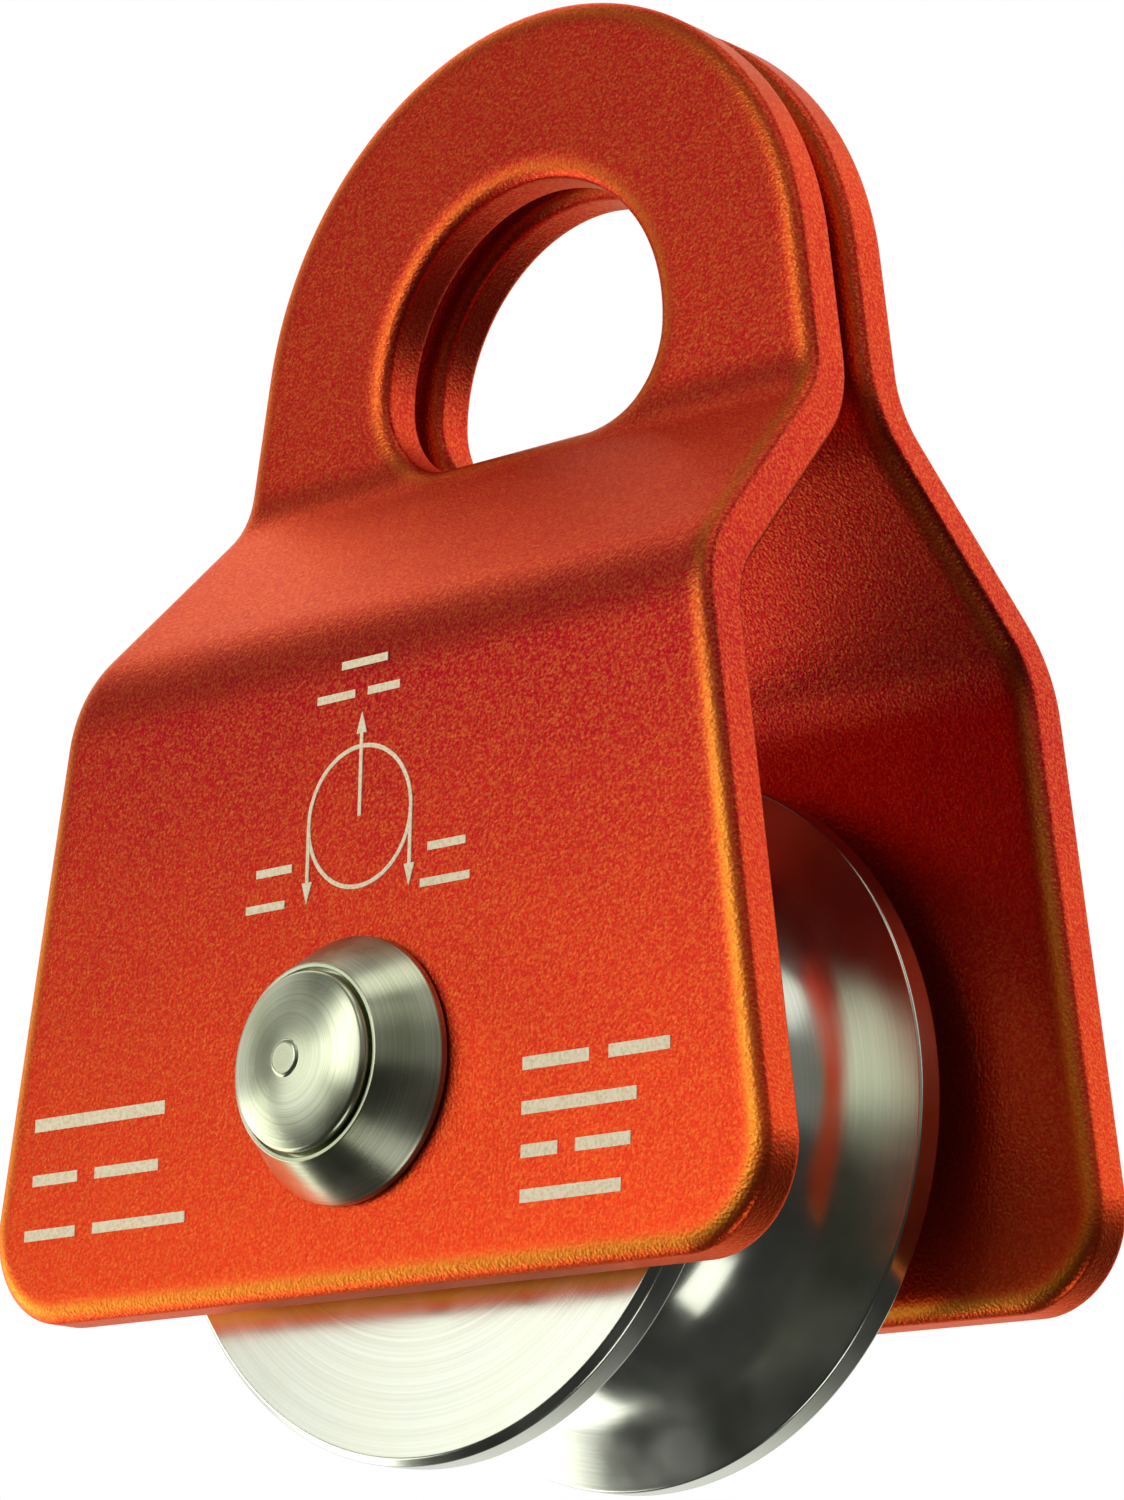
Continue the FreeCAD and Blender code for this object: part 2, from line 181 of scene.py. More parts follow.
def outward_normals(loop):
    """Unit normals of a closed anticlockwise loop, square to the line between neighbours."""
    along = np.roll(loop, -1, axis=0) - np.roll(loop, 1, axis=0)
    normal = np.stack([along[:, 1], -along[:, 0]], -1)
    return normal / np.linalg.norm(normal, axis=1, keepdims=True)


# ---------------------------------------------------------------- meshes
# name of the attribute that carries the painted golden highlight on the plates' edges
PAINTED_EDGE_HIGHLIGHT = "painted_edge_highlight"


def grid_faces(rows, columns, closed):
    """Corner numbers of the quads of a grid whose points are stored row by row."""
    row = np.arange(rows - 1)[:, None] * columns
    column = np.arange(columns if closed else columns - 1)[None, :]
    following = (column + 1) % columns
    corners = [row + column, row + following, row + columns + following, row + columns + column]
    return np.stack(corners, -1).reshape(-1, 4)


def solid(name, patches, body, nodes, finish, sharp_degrees=40.0, painted_edge_highlight=None):
    """One closed piece, sewn from (points, closed) grids that share their border points.

    The last argument holds one value per point, the strength of the painted golden edge
    highlight; it becomes an attribute that the finish reads."""
    points, faces, count = [], [], 0
    for patch, closed in patches:
        rows, columns = patch.shape[:2]
        points.append(patch.reshape(-1, 3))
        faces.append(grid_faces(rows, columns, closed) + count)
        count += rows * columns
    mesh = bpy.data.meshes.new(name)
    mesh.from_pydata(np.concatenate(points) * MM, [], np.concatenate(faces).tolist())
    if painted_edge_highlight is not None:
        mesh.attributes.new(PAINTED_EDGE_HIGHLIGHT, "FLOAT", "POINT").data.foreach_set("value", painted_edge_highlight)
    sewing = bmesh.new()
    sewing.from_mesh(mesh)
    bmesh.ops.remove_doubles(sewing, verts=sewing.verts, dist=SEWING_REACH_M)
    bmesh.ops.dissolve_degenerate(sewing, edges=sewing.edges, dist=SEWING_REACH_M / 10)
    bmesh.ops.recalc_face_normals(sewing, faces=sewing.faces)
    sewing.to_mesh(mesh)
    sewing.free()
    mesh.shade_smooth()
    mesh.set_sharp_from_angle(angle=np.radians(sharp_degrees))
    placed(name, mesh, body, nodes, finish)


def placed(name, mesh, body, nodes, finish):
    """Object for a mesh that already lies in its place, riding on its body."""
    piece = bpy.data.objects.new(name, mesh)
    bpy.context.scene.collection.objects.link(piece)
    mesh.materials.append(finish)
    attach(piece, body)
    if nodes:
        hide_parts(*nodes)
    return piece


def turned(profile, segments=288):
    """Grid of a profile of (radius, y) points carried once round the axle."""
    angle = np.arange(segments) * FULL_TURN / segments
    radius, y = profile[:, :1], profile[:, 1:2]
    x = radius * np.cos(angle)
    z = AXLE_Z + radius * np.sin(angle)
    return np.stack([x, y + 0 * x, z], -1), True


def to_side(profile, side):
    """A (radius, y) profile drawn for the rear, or its mirror image for the front."""
    return profile * [1, side]


# ---------------------------------------------------------------- side plates
def plate_outline(spacing=0.42):
    """Right half of the plate's outline: lower edge, rounded corner, straight side, lobe.

    The side touches the lobe's circle where the corner's direction is turned by
    arccos(radius / distance of the corner)."""
    to_corner = np.arctan2(BOTTOM_Z, BOTTOM_HALF_WIDTH)
    touch = to_corner + np.arccos(LOBE_RADIUS / np.hypot(BOTTOM_Z, BOTTOM_HALF_WIDTH))
    lobe = arc((0, 0), LOBE_RADIUS, np.degrees(touch), 90, spacing)
    lower = rounded([
        (0, BOTTOM_Z, 0),
        (BOTTOM_HALF_WIDTH, BOTTOM_Z, BOTTOM_CORNER_RADIUS),
        (lobe[0, 0], lobe[0, 1], 0)], step_degrees=4, closed=False)
    pieces = [run(start, end, spacing) for start, end in zip(lower[:-1], lower[1:])]
    return joined(*pieces, lobe)


def eye_outline(spacing=0.1):
    """D-shaped eye: half round on top, two corner arcs and a flat floor, anticlockwise."""
    inset = EYE_RADIUS - EYE_CORNER_RADIUS
    corner_z = EYE_FLOOR_Z + EYE_CORNER_RADIUS
    return joined(
        arc((0, 0), EYE_RADIUS, 0, 180, spacing),
        run((-EYE_RADIUS, 0), (-EYE_RADIUS, corner_z), spacing),
        arc((-inset, corner_z), EYE_CORNER_RADIUS, 180, 270, spacing),
        run((-inset, EYE_FLOOR_Z), (inset, EYE_FLOOR_Z), spacing),
        arc((inset, corner_z), EYE_CORNER_RADIUS, 270, 360, spacing),
        run((EYE_RADIUS, corner_z), (EYE_RADIUS, 0), spacing))[:-1]


def bend_line(lower_y, upper_y, upper_crease_z, lower_radius, upper_radius):
    """Distance of a face from the middle plane as a function of z, as (z, y) points."""
    drop = (lower_y - upper_y) / np.tan(np.radians(BEND_ANGLE))
    line = rounded([
        (lower_y, BOTTOM_Z - RUN_OUT, 0),
        (lower_y, upper_crease_z - drop, lower_radius),
        (upper_y, upper_crease_z, upper_radius),
        (upper_y, LOBE_RADIUS + RUN_OUT, 0)], step_degrees=2, closed=False)
    return line[:, ::-1]


UPPER_OUTER_Y = LOBE_GAP / 2 + PLATE_THICKNESS
CREASE_SHIFT = PLATE_THICKNESS * np.tan(np.radians(BEND_ANGLE / 2))
OUTER_FACE = bend_line(LOWER_OUTER_Y, UPPER_OUTER_Y, UPPER_BEND_Z,
                       BEND_INNER_RADIUS + PLATE_THICKNESS, BEND_INNER_RADIUS)
INNER_FACE = bend_line(LOWER_OUTER_Y - PLATE_THICKNESS, LOBE_GAP / 2, UPPER_BEND_Z - CREASE_SHIFT,
                       BEND_INNER_RADIUS, BEND_INNER_RADIUS + PLATE_THICKNESS)


def on_face(points, face):
    """Points (x, z) lifted onto a bent face: y is read off the face's bend line."""
    x, z = points[..., 0], points[..., 1]
    return np.stack([x, np.interp(z, face[:, 0], face[:, 1]), z], -1)


def face_normals(points, face, sign):
    """Unit normals (0, 1, -slope) of a bent face, turned to the given side."""
    z = points[..., 1]
    reach = 0.05
    slope = (np.interp(z + reach, face[:, 0], face[:, 1])
             - np.interp(z - reach, face[:, 0], face[:, 1])) / (2 * reach)
    normal = np.stack([0 * z, 1 + 0 * z, -slope], -1)
    return sign * normal / np.linalg.norm(normal, axis=-1, keepdims=True)


def rim(loop, normals):
    """Rounded edge from the outer face over the wall to the inner face.

    On each rounding a point stands EDGE_SPREAD * (1 - cos a) inside the loop and
    EDGE_ROUND * (1 - sin a) under the face, with a going through ROUNDING_ANGLES from
    90 degrees on the face to 0 on the wall."""
    roundings = []
    for face, sign, angles in ((OUTER_FACE, 1, ROUNDING_ANGLES),
                               (INNER_FACE, -1, ROUNDING_ANGLES[::-1])):
        rows = []
        for angle in np.radians(angles):
            base = loop - EDGE_SPREAD * (1 - np.cos(angle)) * normals
            sunk = EDGE_ROUND * (1 - np.sin(angle)) * face_normals(base, face, sign)
            rows.append(on_face(base, face) - sunk)
        roundings.append(rows)
    outer, inner = roundings
    wall = [outer[-1] + share * (inner[0] - outer[-1]) for share in WALL_SHARES]
    return np.stack(outer + wall + inner)


def painted_edge_highlight_on(patches):
    """Strength of the painted golden highlight at each point of the plate's grids: 0 on the
    sheets and walls, and on the roundings exp(-((a - PAINTED_HIGHLIGHT_ANGLE) /
    PAINTED_HIGHLIGHT_WIDTH) squared), with the angle a as in rim()."""
    rounding = np.exp(-((ROUNDING_ANGLES - PAINTED_HIGHLIGHT_ANGLE) / PAINTED_HIGHLIGHT_WIDTH) ** 2)
    across_edge = np.concatenate([rounding, np.zeros(len(WALL_SHARES)), rounding[::-1]])
    values = []
    for points, _ in patches:
        rows, columns = points.shape[:2]
        is_edge = rows == len(across_edge)
        row_values = across_edge if is_edge else np.zeros(rows)
        values.append(np.repeat(row_values, columns))
    return np.concatenate(values).astype(np.float32)


def about(loop, centre, directions):
    """Points of a star-shaped loop in the given directions from a point inside it."""
    offset = loop - centre
    angle = np.arctan2(offset[:, 1], offset[:, 0])
    order = np.argsort(angle)
    wanted = np.arctan2(directions[:, 1], directions[:, 0])
    return np.stack([np.interp(wanted, angle[order], loop[order, axis], period=FULL_TURN)
                     for axis in (0, 1)], -1)


def sheet(hole, border, shares, face):
    """Bent sheet between a hole and a border: straight lines joining like points."""
    share = shares[:, None, None]
    return on_face(hole + share * (border - hole), face), True


def plate_patches():
    """Grids of the rear plate: two ring-shaped sheets on each face, one round the eye and
    one round the pivot hole, the outside edge, the eye's edge and the hole's wall."""
    half = plate_outline()
    left = half[-2:0:-1] * [-1, 1]
    loop = np.concatenate([half, left])
    normals = outward_normals(loop)
    outside = rim(loop, normals)
    inset = loop - EDGE_SPREAD * normals

    # the two sheets meet on a level line across the plate
    last = len(loop)
    cut = int(np.argmax(half[:, 1] > FLAT_BELOW_Z))
    upper_part = inset[cut:last - cut + 1]
    lower_part = np.concatenate([inset[last - cut:], inset[:cut + 1]])
    across = run(upper_part[-1], upper_part[0], spacing=0.6)[1:-1]
    upper_border = np.concatenate([upper_part, across])
    lower_border = np.concatenate([lower_part, across[::-1]])

    # the eye gets a point in line with each point of the border round it
    eye = eye_outline()
    eye_middle = np.array([0.0, 0.5 * EYE_FLOOR_Z])
    eye_rim = about(eye + EDGE_SPREAD * outward_normals(eye), eye_middle, upper_border - eye_middle)
    eye_normals = -outward_normals(eye_rim)
    eye_loop = eye_rim + EDGE_SPREAD * eye_normals
    eye_edge = rim(eye_loop, eye_normals)

    towards = lower_border - [0, AXLE_Z]
    towards /= np.linalg.norm(towards, axis=1, keepdims=True)
    pivot = np.array([0, AXLE_Z]) + PIVOT_HOLE_RADIUS * towards

    # where the sheets' rows stand between hole and border: close together at both ends, so
    # that the shading stays flat up to the rounding
    bent = np.concatenate([[0, 0.012], np.linspace(0.03, 0.97, 34), [0.988, 1]])
    flat = np.array([0, 0.02, 0.35, 0.7, 0.98, 1])
    patches = [(outside, True), (eye_edge, True)]
    for face in (OUTER_FACE, INNER_FACE):
        patches.append(sheet(eye_rim, upper_border, bent, face))
        patches.append(sheet(pivot, lower_border, flat, face))
    patches.append((np.stack([on_face(pivot, OUTER_FACE), on_face(pivot, INNER_FACE)]), True))
    return patches


# ---------------------------------------------------------------- sheave, collars, axle
def sheave_profile():
    """Half section of the sheave as a closed (radius, y) line with softened corners."""
    lip_y = SHEAVE_HALF_WIDTH - SHEAVE_CHAMFER - SHEAVE_RIM_WIDTH
    centre = TREAD_RADIUS + GROOVE_RADIUS

    # the groove's flank leaves the round bottom on the line that touches it from the lip
    to_lip = np.array([SHEAVE_RADIUS - centre, lip_y])
    touch = np.arctan2(to_lip[1], to_lip[0]) + np.arccos(GROOVE_RADIUS / np.hypot(*to_lip))
    bottom = np.linspace(touch, FULL_TURN - touch, num=73)
    groove = np.stack([centre + GROOVE_RADIUS * np.cos(bottom), GROOVE_RADIUS * np.sin(bottom)], -1)

    half = SHEAVE_HALF_WIDTH
    rim_y = half - SHEAVE_CHAMFER
    flank_end = groove[0]
    outer = rounded([
        (RIB_RADIUS, RIB_HALF_WIDTH, 0),
        (BORE_RADIUS, RIB_HALF_WIDTH, 0.05),
        (BORE_RADIUS, rim_y, 0.1),
        (BORE_RADIUS + SHEAVE_CHAMFER, half, 0.1),
        (SHEAVE_RADIUS - SHEAVE_CHAMFER, half, 0.18),
        (SHEAVE_RADIUS, rim_y, 0.18),
        (SHEAVE_RADIUS, lip_y, 0.16),
        (flank_end[0], flank_end[1], 0)], step_degrees=10, closed=False)
    return np.concatenate([outer, groove[1:-1], outer[::-1] * [1, -1], outer[:1]])


def collar_profile():
    """Closed half section of the rear collar: neck, seat, cone and the groove in its mouth."""
    line = rounded([
        (AXLE_RADIUS, COLLAR_INNER_Y, 0.05),
        (SPIGOT_RADIUS, COLLAR_INNER_Y, 0.1),
        (SPIGOT_RADIUS, COLLAR_SEAT_Y, 0.05),
        (COLLAR_BASE_RADIUS, COLLAR_SEAT_Y, 0.08),
        (COLLAR_BASE_RADIUS, COLLAR_SEAT_Y + COLLAR_BASE_LAND, 0.25),
        (COLLAR_TOP_RADIUS, COLLAR_TOP_Y, 0.07),
        (COLLAR_MOUTH_RADIUS, COLLAR_TOP_Y, 0.04),
        (COLLAR_MOUTH_RADIUS, COLLAR_TOP_Y - COLLAR_MOUTH_DEPTH, 0),
        (AXLE_RADIUS, COLLAR_TOP_Y - COLLAR_MOUTH_DEPTH, 0)], step_degrees=12)
    return np.concatenate([line, line[:1]])


def axle_profile():
    """Half section of the axle: a plain pin with a spherical dome and a low nib at each end.

    The dome's radius is (radius squared + rise squared) / (2 * rise), and its height at a
    radius r is read off that sphere."""
    crown_y = AXLE_END_Y - NIB_RISE
    shoulder_y = crown_y - DOME_RISE
    sphere = (AXLE_RADIUS ** 2 + DOME_RISE ** 2) / (2 * DOME_RISE)

    radius = np.linspace(NIB_RADIUS, AXLE_RADIUS - 1.5 * SHOULDER_ROUND, num=40)
    dome = np.stack([radius, crown_y - sphere + np.sqrt(sphere ** 2 - radius ** 2)], -1)
    nib = rounded([
        (0, AXLE_END_Y, 0),
        (NIB_RADIUS * NIB_TAPER, AXLE_END_Y, 0.25),
        (dome[0, 0], dome[0, 1], 0)], step_degrees=3, closed=False)
    rim_of_dome = rounded([
        (dome[-1, 0], dome[-1, 1], 0),
        (AXLE_RADIUS, shoulder_y, SHOULDER_ROUND),
        (AXLE_RADIUS, shoulder_y - 1, 0)], step_degrees=6, closed=False)
    end = np.concatenate([nib, dome[1:-1], rim_of_dome])
    return np.concatenate([end, end[::-1] * [1, -1]])


# ---------------------------------------------------------------- markings
MARK_HEIGHT = 0.03                                 # laser marks stand this proud of the plate
ARROW_HEIGHT = 0.04                                # the arrows cross the ring just above it
MARK_LINE = 0.2
LOAD_RING_RADIUS = 3.2
LOAD_RING_ABOVE_AXLE = 11.5
PULL_ARROW_LENGTH = 4.8
ROPE_ARROW_LENGTH = 3.6
ARROW_TIP_LENGTH = 1.0
ARROW_TIP_HALF_WIDTH = 0.32


def bar(left, right, low, high):
    """Corners of an upright rectangle, with x and heights above the axle."""
    return np.array([(left, low), (right, low), (right, high), (left, high)], float)


def load_ring():
    """Ring that stands for the sheave, as quads between its two circles."""
    half = MARK_LINE / 2
    angle = np.arange(CIRCLE_SIDES) * FULL_TURN / CIRCLE_SIDES
    circle = np.stack([np.cos(angle), np.sin(angle)], -1)
    inner = [0, LOAD_RING_ABOVE_AXLE] + (LOAD_RING_RADIUS - half) * circle
    outer = [0, LOAD_RING_ABOVE_AXLE] + (LOAD_RING_RADIUS + half) * circle
    return list(np.stack([inner, outer, np.roll(outer, -1, 0), np.roll(inner, -1, 0)], 1))


def load_arrows():
    """Arrows for the pull upwards from the ring's middle and the two rope ends hanging down.

    Each is a bar and a triangle; a negative length points down."""
    middle = LOAD_RING_ABOVE_AXLE
    half = MARK_LINE / 2
    shapes = []
    for x, length in ((0, PULL_ARROW_LENGTH), (-LOAD_RING_RADIUS, -ROPE_ARROW_LENGTH),
                      (LOAD_RING_RADIUS, -ROPE_ARROW_LENGTH)):
        tip = middle + length
        neck = tip - np.sign(length) * ARROW_TIP_LENGTH
        shapes.append(bar(x - half, x + half, middle, neck))
        shapes.append(np.array([
            (x - ARROW_TIP_HALF_WIDTH, neck), (x + ARROW_TIP_HALF_WIDTH, neck), (x, tip)]))
    return shapes


# Plain bars stand where the plate has its lines of print: (height above the axle,
# letter height, left ends and right ends of the words)
PRINT_ROWS = (
    (18.6, 0.9, ((-1.4, 1.5),)),
    (17.2, 0.9, ((-2.9, -0.5), (0.3, 2.3))),
    (9.7, 0.9, ((-6.5, -4.2),)),
    (8.1, 0.9, ((-7.1, -4.6),)),
    (9.5, 0.9, ((4.3, 6.6),)),
    (7.9, 0.9, ((3.9, 6.9),)),
    (-0.8, 1.35, ((10.3, 14.1), (15.2, 18.6))),
    (-2.7, 1.35, ((10.3, 16.8),)),
    (-4.55, 1.35, ((10.3, 12.4), (13.4, 16.5))),
    (-6.45, 1.35, ((10.3, 16.0),)),
    (-0.3, 1.45, ((-20.9, -12.0),)),
    (-2.9, 1.25, ((-20.9, -17.8), (-16.6, -12.3))),
    (-5.45, 1.2, ((-21.3, -17.8), (-16.6, -10.4))))
BAR_SHARE = 0.42                                   # height of a bar over the letters' height


def print_bars():
    """Rectangles of the plain bars, each as high as a share of the letters' height."""
    shapes = []
    for height, letter, words in PRINT_ROWS:
        reach = 0.5 * BAR_SHARE * letter
        shapes += [bar(left, right, height - reach, height + reach) for left, right in words]
    return shapes


def marks(name, shapes, finish, proud=MARK_HEIGHT):
    """Flat shapes on the front plate's outer face, given their height by Solidify."""
    counts = [len(shape) for shape in shapes]
    x, height = np.concatenate(shapes).T
    points = np.stack([x, 0 * x - LOWER_OUTER_Y - proud, AXLE_Z + height], -1)
    corners = np.split(np.arange(len(points)), np.cumsum(counts)[:-1])
    mesh = bpy.data.meshes.new(name)
    mesh.from_pydata(points * MM, [], [corner.tolist() for corner in corners])
    sewing = bmesh.new()
    sewing.from_mesh(mesh)
    bmesh.ops.remove_doubles(sewing, verts=sewing.verts, dist=SEWING_REACH_M)
    for face in sewing.faces:
        face.normal_update()
        if face.normal.y > 0:
            face.normal_flip()
    sewing.to_mesh(mesh)
    sewing.free()
    piece = placed(name, mesh, "front_plate", (), finish)
    thickness = piece.modifiers.new("thickness", "SOLIDIFY")
    thickness.thickness = proud * MM
    thickness.offset = -1


# ---------------------------------------------------------------- materials
def srgb(code):
    """Linear colour with alpha from an sRGB hex value."""
    value = np.array([int(code[start:start + 2], 16) for start in (1, 3, 5)]) / 255
    linear = np.where(value <= 0.04045, value / 12.92, ((value + 0.055) / 1.055) ** 2.4)
    return (*linear, 1.0)


def add(tree, kind, links=None, **settings):
    """Node of one kind with its properties set and its inputs set or linked by name."""
    node = tree.nodes.new("ShaderNode" + kind)
    for name, value in settings.items():
        setattr(node, name, value)
    for socket, value in (links or {}).items():
        target = node.inputs[socket]
        if isinstance(value, bpy.types.NodeSocket):
            tree.links.new(value, target)
        else:
            target.default_value = value
    return node


def new_finish(name):
    """Empty material with its tree, its shader and the Object coordinates of its piece."""
    material = bpy.data.materials.new(name)
    material.use_nodes = True
    tree = material.node_tree
    tree.nodes.clear()
    shader = add(tree, "BsdfPrincipled")
    add(tree, "OutputMaterial", {"Surface": shader.outputs["BSDF"]})
    place = add(tree, "TexCoord").outputs["Object"]
    return material, tree, shader, place


def ramp(tree, factor, low, high, start, end):
    """Colour that goes from one to the other while the factor goes from start to end."""
    node = add(tree, "ValToRGB", {"Fac": factor})
    first, last = node.color_ramp.elements
    first.position, first.color = start, low
    last.position, last.color = end, high
    return node.outputs["Color"]


def per_mm(millimetres):
    """Noise scale that gives patches of about this size on coordinates in metres."""
    return 1 / (millimetres * MM)


def anodised_aluminium(name, shaded_deep_red, lit_bright_orange, glint, painted_highlight_gold):
    """Bead-blasted and orange anodised aluminium.

    The glass beads leave shallow dents about 0.15 mm wide, which break up the gloss into
    a sparkling grain; glint-coloured flecks on the ridges between them are a painted
    sparkle highlight. A painted shade makes the plate deepest red along the lower bend and
    more orange below it, and a painted golden highlight runs along the rounded edges,
    mostly low down on the plate."""
    material, tree, shader, place = new_finish(name)
    grain = add(tree, "TexNoise", {"Vector": place, "Scale": per_mm(0.15), "Detail": 3.0,
                                   "Roughness": 0.7})
    dents = add(tree, "TexVoronoi", {"Vector": place, "Scale": per_mm(0.16)}, feature="F1")
    cloud = add(tree, "TexNoise", {"Vector": place, "Scale": per_mm(4.0), "Detail": 2.0})
    height = add(tree, "SeparateXYZ", {"Vector": place}).outputs["Z"]
    # painted shade: deepest red along the level line on the lower bend, more orange towards the bottom
    # and slightly lighter above; the cloud noise adds uneven dye
    from_shade_line = add(tree, "Math", {0: height, 1: PAINTED_SHADE_Z * MM}, operation="SUBTRACT")
    below = add(tree, "MapRange", {"Value": from_shade_line.outputs[0], "From Min": 0.0,
                                   "From Max": (BOTTOM_Z - PAINTED_SHADE_Z) * MM})
    above = add(tree, "MapRange", {"Value": from_shade_line.outputs[0], "From Min": 0.0,
                                   "From Max": -PAINTED_SHADE_Z * MM, "To Max": 0.3})
    painted_light_level = add(tree, "Math", {0: below.outputs["Result"], 1: above.outputs["Result"]},
              operation="MAXIMUM").outputs[0]
    uneven = add(tree, "Math", {0: cloud.outputs["Fac"], 1: 0.25, 2: -0.125},
                 operation="MULTIPLY_ADD")
    painted_light_and_uneven_dye = add(tree, "Math", {0: painted_light_level, 1: uneven.outputs[0]}, operation="ADD", use_clamp=True)
    body = add(tree, "Mix", {"Factor": painted_light_and_uneven_dye.outputs[0], "A": shaded_deep_red, "B": lit_bright_orange}, data_type="RGBA")
    # painted glint: glint-coloured flecks where the grain is high, standing in for sparkle highlights
    painted_glint_fleck = add(tree, "MapRange", {"Value": grain.outputs["Fac"], "From Min": 0.44, "From Max": 0.7,
                                   "To Min": 0.0, "To Max": 0.42})
    grain_with_painted_glints = add(tree, "Mix", {"Factor": painted_glint_fleck.outputs["Result"], "A": body.outputs["Result"],
                                "B": glint}, data_type="RGBA")
    # painted highlight: a golden line on the rounded edges, stronger low down on the plate
    edge_highlight = add(tree, "Attribute", attribute_name=PAINTED_EDGE_HIGHLIGHT).outputs["Fac"]
    highlight_low_down = add(tree, "MapRange", {
        "Value": from_shade_line.outputs[0], "From Min": -PAINTED_HIGHLIGHT_FADE * MM, "From Max": 0.0,
        "To Min": 0.9, "To Max": 0.3}).outputs["Result"]
    patchy = add(tree, "MapRange", {"Value": grain.outputs["Fac"], "From Min": 0.35, "From Max": 0.6,
                                    "To Min": 0.55, "To Max": 1.0}).outputs["Result"]
    wear_and_painted_highlight = add(tree, "Math", {0: edge_highlight, 1: highlight_low_down}, operation="MULTIPLY")
    painted_highlight_share = add(tree, "Math", {0: wear_and_painted_highlight.outputs[0], 1: patchy}, operation="MULTIPLY")
    colour = add(tree, "Mix", {"Factor": painted_highlight_share.outputs[0], "A": grain_with_painted_glints.outputs["Result"],
                               "B": painted_highlight_gold}, data_type="RGBA")
    tree.links.new(colour.outputs["Result"], shader.inputs["Base Color"])
    gloss = add(tree, "MapRange", {"Value": grain.outputs["Fac"], "To Min": 0.46, "To Max": 0.3})
    tree.links.new(gloss.outputs["Result"], shader.inputs["Roughness"])
    relief = add(tree, "Math", {0: grain.outputs["Fac"], 1: dents.outputs["Distance"]},
                 operation="ADD")
    bump = add(tree, "Bump", {"Strength": 0.6, "Distance": 0.025 * MM, "Height": relief.outputs[0]})
    tree.links.new(bump.outputs["Normal"], shader.inputs["Normal"])
    shader.inputs["Metallic"].default_value = 1.0
    # light that only grazes the oxide comes back warm too
    shader.inputs["Specular Tint"].default_value = srgb("#FFE0C8")
    return material


def turned_metal(name, dark, light, ring_mm, ring_depth_mm, smooth, rough):
    """Metal turned on a lathe, then ground or polished: mostly stainless or bearing steel.

    The tool leaves rings about the axle: noise read at (radius, y) only is the same all
    the way round, so it draws them. Wider noise gives the hazy patches that polishing
    leaves, which change the gloss more than the colour. The pressed brass cages, deep in
    the bearings, share it."""
    material, tree, shader, place = new_finish(name)
    centred = add(tree, "Mapping", {"Vector": place, "Location": (0, 0, -AXLE_Z * MM)})
    parts = add(tree, "SeparateXYZ", {"Vector": centred.outputs["Vector"]})
    flat = add(tree, "CombineXYZ", {"X": parts.outputs["X"], "Y": parts.outputs["Z"]})
    radius = add(tree, "VectorMath", {0: flat.outputs["Vector"]}, operation="LENGTH")
    section = add(tree, "CombineXYZ", {"X": radius.outputs["Value"], "Y": parts.outputs["Y"]})
    rings = add(tree, "TexNoise", {"Vector": section.outputs["Vector"], "Scale": per_mm(ring_mm),
                                   "Detail": 4.0, "Roughness": 0.7})
    haze = add(tree, "TexNoise", {"Vector": place, "Scale": per_mm(3.5), "Detail": 2.0,
                                  "Roughness": 0.5})
    wear_and_painted_highlight = add(tree, "Math", {0: haze.outputs["Fac"], 1: rings.outputs["Fac"]}, operation="MULTIPLY")
    tint = ramp(tree, wear_and_painted_highlight.outputs[0], dark, light, 0.14, 0.36)
    tree.links.new(tint, shader.inputs["Base Color"])
    gloss = add(tree, "MapRange", {"Value": haze.outputs["Fac"], "From Min": 0.3, "From Max": 0.7,
                                   "To Min": smooth, "To Max": rough})
    tree.links.new(gloss.outputs["Result"], shader.inputs["Roughness"])
    bump = add(tree, "Bump", {"Strength": 1.0, "Distance": ring_depth_mm * MM,
                              "Height": rings.outputs["Fac"]})
    tree.links.new(bump.outputs["Normal"], shader.inputs["Normal"])
    shader.inputs["Metallic"].default_value = 1.0
    return material


def laser_mark(name, dark, light):
    """Laser-marked oxide: the dye is burnt out of it, which leaves a chalky cream line."""
    material, tree, shader, place = new_finish(name)
    chalk = add(tree, "TexNoise", {"Vector": place, "Scale": per_mm(0.15), "Detail": 2.0})
    tint = ramp(tree, chalk.outputs["Fac"], dark, light, 0.3, 0.6)
    tree.links.new(tint, shader.inputs["Base Color"])
    shader.inputs["Roughness"].default_value = 0.7
    return material


def turned_acetal(name, dark, light):
    """Acetal turned from bar: a soft satin with a faint speckle."""
    material, tree, shader, place = new_finish(name)
    speckle = add(tree, "TexNoise", {"Vector": place, "Scale": per_mm(0.4), "Detail": 3.0})
    tint = ramp(tree, speckle.outputs["Fac"], dark, light, 0.35, 0.65)
    tree.links.new(tint, shader.inputs["Base Color"])
    shader.inputs["Roughness"].default_value = 0.42
    return material


# red and orange ends of the painted shade, the painted glint flecks and the painted golden edge
# highlight
plate_finish = anodised_aluminium(
    "bead-blasted orange anodised aluminium", shaded_deep_red=srgb("#BE1026"), lit_bright_orange=srgb("#F84624"),
    glint=srgb("#FF9A3C"), painted_highlight_gold=srgb("#FFA838"))
sheave_finish = turned_metal(
    "turned and polished stainless steel", srgb("#D2D6C2"), srgb("#E6EADA"),
    ring_mm=0.12, ring_depth_mm=0.0004, smooth=0.16, rough=0.26)
hub_finish = turned_metal(
    "fine-turned stainless steel", srgb("#B4BA98"), srgb("#DCE2C6"),
    ring_mm=0.1, ring_depth_mm=0.0008, smooth=0.24, rough=0.34)
bearing_finish = turned_metal(
    "ground bearing steel", srgb("#A9ABAD"), srgb("#CDD0D2"),
    ring_mm=0.08, ring_depth_mm=0.0004, smooth=0.15, rough=0.25)
